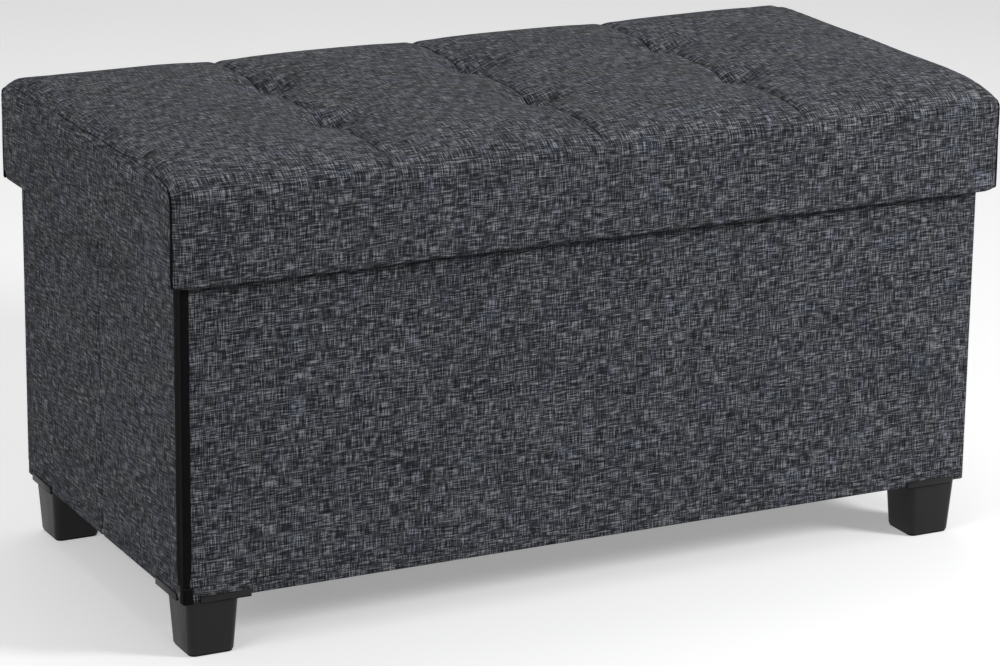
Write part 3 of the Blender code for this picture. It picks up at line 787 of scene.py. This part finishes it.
def build_shade_strip(name, body, node, run, r0, z0, z1, seed):
    """Black tape folded round the low end of a wall, a little uneven, with a turned tip at the bottom: a
    painted shade strip where the front-left corner falls into shade.
    """
    turn = np.linspace(0, math.pi / 2, 5)
    radius, sink = 0.0016, 0.0002
    path = [(r0 + SHADE_STRIP_W, sink + 0.0006), (r0 + SHADE_STRIP_W - 0.0004, sink)]
    path += [(r0 + p, sink) for p in np.linspace(SHADE_STRIP_W - 0.0012, radius, 4)]
    path += [(r0 + radius - radius * math.sin(a), sink + radius - radius * math.cos(a)) for a in turn[1:]]
    path += [(r0, t) for t in np.linspace(sink + radius, WALL_T - 0.0006, 5)[1:]]
    path += [(r0 + 0.0005, WALL_T)]
    path = np.array(path)
    across = arc_lengths(path)
    zs = np.linspace(z0, z1, 48)
    r = np.broadcast_to(path[None, :, 0], (len(zs), len(path)))
    t = np.broadcast_to(path[None, :, 1], r.shape)
    z = np.broadcast_to(zs[:, None], r.shape)
    tip = smooth(1 - (z - z0) / 0.012)
    r = r0 + (r - r0) * (1 - 0.35 * tip)
    r = r + waves(z, across[None, :], 0.07, seed) * 0.00025 * (path[None, :, 1] < 0.001)
    t = t + 0.0004 * tip + np.abs(waves(z, across[None, :] * 3, 0.05, seed + 1)) * 0.0002
    grid = run.points(r, t, z)
    uvs = np.stack(np.broadcast_arrays(across[None, :], zs[:, None]), axis=2)
    ob = add_grid(name, grid, uvs, SHADE_TAPE, flip=not run.flipped())
    piece(ob, body, "black_binding", *([node] if node else []))
    return ob


WALLS = (
    ("back", "base", 0, 1, -WX, WX),
    ("front", "front_wall", 0, -1, -WX, WX),
    ("left_rear", "left_rear", 1, -1, CREASE_HALF, WY - WALL_T - GAP),
    ("left_front", "left_front", 1, -1, -(WY - WALL_T - GAP), -CREASE_HALF),
    ("right_rear", "right_rear", 1, 1, CREASE_HALF, WY - WALL_T - GAP),
    ("right_front", "right_front", 1, 1, -(WY - WALL_T - GAP), -CREASE_HALF),
)


# rounding of each wall's two upright edges, rounder at the creases
EDGE_RADII = {"back": (0.0012, 0.0012), "front": (0.0022, 0.0022), "left_rear": (0.0026, 0.0006),
              "right_rear": (0.0026, 0.0006), "left_front": (0.0006, 0.0026), "right_front": (0.0006, 0.0026)}


def soft_slab(name, lo, hi, mat, seed, axis):
    """A thin cloth sheet with both faces and soft edges, lying across one axis."""
    lo, hi = np.array(lo, float), np.array(hi, float)
    a, b = [k for k in range(3) if k != axis]
    ca = max(3, int((hi[a] - lo[a]) / LINING_STEP))
    cb = max(3, int((hi[b] - lo[b]) / LINING_STEP))
    ga, gb = np.meshgrid(np.linspace(lo[a], hi[a], ca), np.linspace(lo[b], hi[b], cb))
    ripple = waves(ga, gb, 0.08, seed) * LINING_UNEVEN
    edge = np.minimum(np.minimum(ga - lo[a], hi[a] - ga), np.minimum(gb - lo[b], hi[b] - gb))
    ripple = ripple * smooth(edge / 0.02)
    sheets = []
    for level in (lo[axis] + LINING_INSET, hi[axis] - LINING_INSET):
        pts = np.zeros((*ga.shape, 3))
        pts[..., a], pts[..., b], pts[..., axis] = ga, gb, level + ripple
        sheets.append(pts.reshape(-1, 3))
    n = ga.size
    faces = [f[::-1] for f in grid_faces(cb, ca)] + [tuple(n + i for i in f) for f in grid_faces(cb, ca)]
    rim = grid_rim(cb, ca)
    faces += [(p, q, n + q, n + p) for p, q in zip(rim, rim[1:] + rim[:1])]
    uvs = np.stack([ga.ravel(), gb.ravel()], axis=1)
    ob = add_mesh(name, np.concatenate(sheets), faces, mat, np.concatenate([uvs, uvs]))
    if axis == 1:
        ob.data.flip_normals()
    return ob


def lining(name, body, node):
    lo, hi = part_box(node)
    size = [hi[k] - lo[k] for k in range(3)]
    axis = size.index(min(size))
    ob = soft_slab(name, lo, hi, LINING, len(name), axis)
    piece(ob, body, "black_lining", node)


def build_walls():
    for k, (wall, body, along, side, r0, r1) in enumerate(WALLS):
        run = Run(along, side)
        # painted shade: a black strip goes only at the front-left corner, standing in for the shade that
        # falls there
        shade_strip_end = wall in ("front", "left_front")
        low = r0 + SHADE_STRIP_W - 0.0012 if shade_strip_end else r0
        build_tray(wall + "_cloth", body, wall + "_cover", run, low, r1, EDGE_RADII[wall], shade_strip_end,
                   20 + k, k * 1.7)
        if shade_strip_end:
            build_shade_strip(wall + "_shade_strip", body, wall + "_binding", run, r0, BASE_TOP_Z, WALL_TOP_Z, 31 + k)
        lining(wall + "_inner", body, wall + "_lining")


# ---------------------------------------------------------------- base
def ring_path():
    """Outline of the base with rounded corners and a nick at each end wall's crease: (x, y, length)."""
    radius, turn = 0.0022, np.linspace(0, math.pi / 2, 5)
    points = []
    for cx, cy, start in ((1, -1, -math.pi / 2), (1, 1, 0.0), (-1, 1, math.pi / 2), (-1, -1, math.pi)):
        x, y = cx * (WX - radius), cy * (WY - radius)
        points += [(x + radius * math.cos(start + a), y + radius * math.sin(start + a)) for a in turn]
        nxt = {(1, -1): (1, 1), (1, 1): (-1, 1), (-1, 1): (-1, -1), (-1, -1): (1, -1)}[(cx, cy)]
        if cx == nxt[0]:
            span = np.linspace(cy, nxt[1], 41)[1:-1] * (WY - radius)
            crease = [v * cy for v in (0.003, 0.0015, 0.0, -0.0015, -0.003)]
            for s in [*span[span * cy > 0.004], *crease, *span[span * cy < -0.004]]:
                nick = 0.0022 * max(0.0, 1 - abs(s) / 0.003) ** 1.5
                points.append((cx * (WX - nick), s))
        else:
            points += [(s * (WX - radius), cy * WY) for s in np.linspace(cx, nxt[0], 80)[1:-1]]
    return np.array(points)


def build_base():
    outline = ring_path()
    count = len(outline)
    closed = np.concatenate([outline, outline[:1]])
    length = arc_lengths(closed)
    inner = np.stack([np.clip(closed[:, 0], -WX + BASE_LIP, WX - BASE_LIP),
                      np.clip(closed[:, 1], -WY + BASE_LIP, WY - BASE_LIP)], axis=1)
    over = np.stack([np.clip(closed[:, 0], -WX + WALL_T, WX - WALL_T),
                     np.clip(closed[:, 1], -WY + WALL_T, WY - WALL_T)], axis=1)
    radius = 0.0016

    def toward(target, distance):
        step = target - closed
        size = np.maximum(np.linalg.norm(step, axis=1, keepdims=True), 1e-9)
        return closed + step / size * distance

    turn = np.linspace(0, math.pi / 2, 4)
    rows = [np.column_stack([inner, np.full(count + 1, BASE_Z)])]
    for a in turn:
        flat = toward(inner, radius - radius * math.sin(a))
        rows.append(np.column_stack([flat, np.full(count + 1, BASE_Z + radius - radius * math.cos(a))]))
    for z in (0.054, 0.057, 0.060, BASE_TOP_Z - 0.0004):
        rows.append(np.column_stack([closed, np.full(count + 1, z)]))
    rows.append(np.column_stack([toward(over, 0.0004), np.full(count + 1, BASE_TOP_Z - 0.0001)]))
    rows.append(np.column_stack([over, np.full(count + 1, BASE_TOP_Z - 0.0001)]))
    grid = np.array(rows)
    v = np.array([0.0, 0.013, 0.0138, 0.0146, 0.0154, 0.018, 0.021, 0.024, 0.0262, 0.0268, 0.034])
    uvs = np.stack(np.broadcast_arrays(length[None, :], v[:, None]), axis=2)
    ob = add_grid("base_cloth", grid, uvs, LINEN)
    piece(ob, "base", "linen_cloth", "base_edge_band")
    # black strips on the base at its front-left corner: painted shade
    for name, run, r0 in (("base_shade_strip_front", Run(0, -1), -WX), ("base_shade_strip_left", Run(1, -1), -WY)):
        strip = build_shade_strip(name, "base", None, run, r0, BASE_Z - 0.0012, BASE_TOP_Z, 41)
        strip.location -= Vector((0.0003, 0.0003, 0))
    lining("base_inner", "base", "base_liner")
    lining("underside_cloth", "base", "dust_cover")


def rounded_square(half, radius):
    points = []
    for quadrant in range(4):
        start = quadrant * math.pi / 2
        cx = (half - radius) * (1 if quadrant in (0, 3) else -1)
        cy = (half - radius) * (1 if quadrant in (0, 1) else -1)
        for a in np.linspace(start, start + math.pi / 2, 7):
            points.append((cx + radius * math.cos(a), cy + radius * math.sin(a)))
    return np.array(points)


def rounded_box(bm, lo, hi, radius):
    made = bmesh.ops.create_cube(bm, size=1.0)["verts"]
    bmesh.ops.scale(bm, vec=[b - a for a, b in zip(lo, hi)], verts=made)
    bmesh.ops.translate(bm, vec=[(a + b) / 2 for a, b in zip(lo, hi)], verts=made)
    edges = list({e for v in made for e in v.link_edges})
    bmesh.ops.bevel(bm, geom=edges, offset=radius, segments=2, profile=0.5, affect="EDGES")


def build_foot(corner, sx, sy):
    """Hollow tapered foot with a rounded rim, open below, and a thin lip over the hem on two sides."""
    top, low = BASE_Z - GAP, 0.0018
    rim = 0.0007
    rings = [(FOOT_HIGH - 0.0028, top - 0.0028), (FOOT_LOW - 0.0028, low + 0.002), (FOOT_LOW - 0.0024, low),
             (FOOT_LOW - rim, low), (FOOT_LOW - rim * 0.3, low + rim * 0.3), (FOOT_LOW, low + rim)]
    for f in (0.02, 0.2, 0.4, 0.6, 0.8, 0.97):
        rings.append((FOOT_LOW + (FOOT_HIGH - FOOT_LOW) * f, low + (top - low) * f))
    rings += [(FOOT_HIGH, top - 0.0006), (FOOT_HIGH - 0.0006, top)]
    bm = bmesh.new()
    loops = []
    for half, z in rings:
        radius = max(0.0028, FOOT_R - (FOOT_LOW - half) if half < FOOT_LOW else FOOT_R)
        loops.append([bm.verts.new((sx * FOOT_X + x, sy * FOOT_Y + y, z))
                      for x, y in rounded_square(half, radius)])
    for under, over in zip(loops, loops[1:]):
        for i in range(len(under)):
            j = (i + 1) % len(under)
            bm.faces.new((under[i], under[j], over[j], over[i]))
    bm.faces.new(loops[-1])
    bm.faces.new(loops[0][::-1])
    for axis, s, t in ((0, sx, sy), (1, sy, sx)):
        edge = (WX, WY)[axis] * s
        face = (WX, WY)[1 - axis] * t + t * GAP
        run = sorted((edge - s * LIP_NEAR, edge - s * LIP_FAR))
        for depth, za, zb in ((0.009, top - LIP_T, top), (0, top - LIP_T, BASE_Z + LIP_UP)):
            across = sorted((face - t * depth, face + t * LIP_T))
            lo, hi = [0, 0, za], [0, 0, zb]
            lo[axis], hi[axis] = run
            lo[1 - axis], hi[1 - axis] = across
            rounded_box(bm, lo, hi, 0.0004)
    bmesh.ops.recalc_face_normals(bm, faces=bm.faces)
    me = bpy.data.meshes.new("foot_shell_" + corner)
    bm.to_mesh(me)
    bm.free()
    me.polygons.foreach_set("use_smooth", [True] * len(me.polygons))
    me.materials.append(PLASTIC)
    ob = add_object("foot_shell_" + corner, me)
    sharp = ob.modifiers.new("rims", "EDGE_SPLIT")
    sharp.split_angle = math.radians(42)
    piece(ob, "base", "black_plastic", "foot_" + corner)


def build_pad(corner, sx, sy):
    half, z0, z1 = 0.019, 0.0, 0.0015
    rings = [(half - 0.010, z0), (half - 0.0004, z0), (half, 0.0004), (half, 0.0011), (half - 0.0004, z1),
             (half - 0.010, z1)]
    shape = [rounded_square(h, 0.005 if h > 0.01 else 0.003) for h, _ in rings]
    centre = np.array([sx * FOOT_X, sy * FOOT_Y])
    verts = [(*(centre + p), z) for (_, z), pts in zip(rings, shape) for p in pts]
    count = len(shape[0])
    faces = grid_faces(len(rings), count, closed=True)
    faces += [tuple(range(count))[::-1], tuple(range((len(rings) - 1) * count, len(rings) * count))]
    uvs = np.array([(x + 5, y + z) for x, y, z in verts])
    ob = add_mesh("foot_felt_" + corner, verts, faces, FELT, uvs)
    piece(ob, "base", "felt", "foot_pad_" + corner)


CORNERS = {"front_left": (-1, -1), "front_right": (1, -1), "rear_left": (-1, 1), "rear_right": (1, 1)}


# ---------------------------------------------------------------- staples
def staple_row(bm, start, end, count, out):
    """Wire staples pressed flat into cloth along a line; out points away from the cloth."""
    start, end, out = Vector(start), Vector(end), Vector(out)
    along = (end - start).normalized()
    side = along.cross(out)
    for k in range(count):
        tilt = 0.25 * math.sin(k * 2.4 + count)
        turn = Matrix.Rotation(tilt, 3, out)
        a, b = turn @ along, turn @ side
        centre = start.lerp(end, (k + 0.5) / count)
        corners = []
        for u, v, w in ((-1, -1, 0), (1, -1, 0), (1, 1, 0), (-1, 1, 0), (-0.94, -0.6, 1), (0.94, -0.6, 1),
                        (0.94, 0.6, 1), (-0.94, 0.6, 1)):
            at = centre + a * (u * STAPLE_W / 2) + b * (v * WIRE_R) + out * (w * WIRE_R)
            corners.append(bm.verts.new(at))
        for f in ((0, 1, 5, 4), (1, 2, 6, 5), (2, 3, 7, 6), (3, 0, 4, 7), (4, 5, 6, 7), (3, 2, 1, 0)):
            bm.faces.new([corners[i] for i in f])


def staple_piece(name, body, rows):
    bm = bmesh.new()
    for row in rows:
        staple_row(bm, *row)
    bmesh.ops.recalc_face_normals(bm, faces=bm.faces)
    me = bpy.data.meshes.new(name)
    bm.to_mesh(me)
    bm.free()
    me.materials.append(ZINC)
    piece(add_object(name, me), body, "zinc_steel")


def build_staples():
    hx, hy, z = HX - HEM_IN, HY - HEM_IN, SKIRT_Z + HEM - 0.005
    staple_piece("hem_staples", "lid", [
        ((-hx + 0.02, -hy, z), (hx - 0.02, -hy, z), 16, (0, 1, 0)),
        ((hx - 0.02, hy, z), (-hx + 0.02, hy, z), 16, (0, -1, 0)),
        ((-hx, hy - 0.02, z), (-hx, -hy + 0.02, z), 8, (1, 0, 0)),
        ((hx, -hy + 0.02, z), (hx, hy - 0.02, z), 8, (-1, 0, 0)),
    ])
    lx, ly, lz = HX - 0.018, HY - 0.018, 0.3653
    staple_piece("lining_staples", "lid", [
        ((-lx, -ly, lz), (lx, -ly, lz), 14, (0, 0, -1)), ((lx, ly, lz), (-lx, ly, lz), 14, (0, 0, -1)),
        ((-lx, ly, lz), (-lx, -ly, lz), 7, (0, 0, -1)), ((lx, -ly, lz), (lx, ly, lz), 7, (0, 0, -1)),
    ])
    dx, dy = WX - BASE_LIP - 0.008, WY - BASE_LIP - 0.008
    cut = 0.075
    staple_piece("underside_staples", "base", [
        ((-dx + cut, -dy, BASE_Z), (dx - cut, -dy, BASE_Z), 12, (0, 0, -1)),
        ((dx - cut, dy, BASE_Z), (-dx + cut, dy, BASE_Z), 12, (0, 0, -1)),
        ((-dx, dy - cut, BASE_Z), (-dx, -dy + cut, BASE_Z), 4, (0, 0, -1)),
        ((dx, -dy + cut, BASE_Z), (dx, dy - cut, BASE_Z), 4, (0, 0, -1)),
    ])


# ---------------------------------------------------------------- CAD nodes that stay
def paint_nodes():
    for name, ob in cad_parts.items():
        mat = None
        if name.endswith("_board") or name.startswith("lid_skirt"):
            mat = BOARD
        elif name.startswith(("tee_nut", "foot_bolt")):
            mat = ZINC
        elif name.startswith("tuft_tie"):
            mat = NYLON
        if mat:
            for slot_ in ob.material_slots:
                slot_.material = mat


# ---------------------------------------------------------------- stage
LIGHTS = (("key", (1.6, -1.55, 1.15), 0.5, 38.0), ("fill", (-2.0, -0.8, 1.2), 1.2, 18.0),
          ("top", (0.2, 1.0, 2.5), 2.0, 18.0))


def build_stage():
    bpy.ops.mesh.primitive_plane_add(size=14.0, location=(0, 0, -0.0002))
    floor = bpy.context.object
    floor.name = "studio_floor"
    s = Shader("studio_white")
    mottle = s.noise(s.place(), (3, 3, 3), 2.0, 0.5)
    colour = s.ramp(mottle, (0.0, (0.90, 0.90, 0.90)), (1.0, (0.93, 0.93, 0.93)))
    floor.data.materials.append(s.finish(colour, 0.9, Specular_IOR_Level=0.1, Emission_Strength=0.32,
                                         Emission_Color=(1.0, 1.0, 1.0, 1.0)))
    floor.visible_diffuse = False
    world = bpy.data.worlds.new("studio")
    world.use_nodes = True
    back = world.node_tree.nodes["Background"]
    back.inputs[0].default_value = (1.0, 1.0, 1.0, 1.0)
    back.inputs[1].default_value = 0.22
    bpy.context.scene.world = world
    for name, at, size, power in LIGHTS:
        light = bpy.data.lights.new(name, "AREA")
        light.shape = "SQUARE"
        light.size = size
        light.energy = power
        ob = bpy.data.objects.new(name, light)
        ob.location = at
        ob.rotation_mode = "QUATERNION"
        ob.rotation_quaternion = (Vector((0, 0, 0.2)) - Vector(at)).to_track_quat("-Z", "Y")
        bpy.context.scene.collection.objects.link(ob)
    bpy.context.scene.view_settings.view_transform = "Standard"


def build_camera():
    right = Vector((0.89308, -0.44976, 0.01163)).normalized()
    up = Vector((0.12032, 0.26367, 0.95708))
    back = right.cross(up).normalized()
    up = back.cross(right)
    data = bpy.data.cameras.new("camera")
    data.sensor_width = 36.0
    data.lens = 141.96
    data.clip_start, data.clip_end = 0.1, 50.0
    cam = bpy.data.objects.new("camera", data)
    cam.matrix_world = Matrix.Translation((-1.47990, -2.91601, 1.17004)) @ \
        Matrix((right, up, back)).transposed().to_4x4()
    bpy.context.scene.collection.objects.link(cam)
    bpy.context.scene.camera = cam


build_camera()
TOP, EDGES = build_covers()
build_foam(TOP)
build_gusset("end_left", -1, EDGES[-1], "lid_gusset_left")
build_gusset("end_right", 1, EDGES[1], "lid_gusset_right")
lining("lid_inner", "lid", "lid_lining")
build_walls()
build_base()
for place, (sign_x, sign_y) in CORNERS.items():
    build_foot(place, sign_x, sign_y)
    build_pad(place, sign_x, sign_y)
build_staples()
paint_nodes()
build_stage()
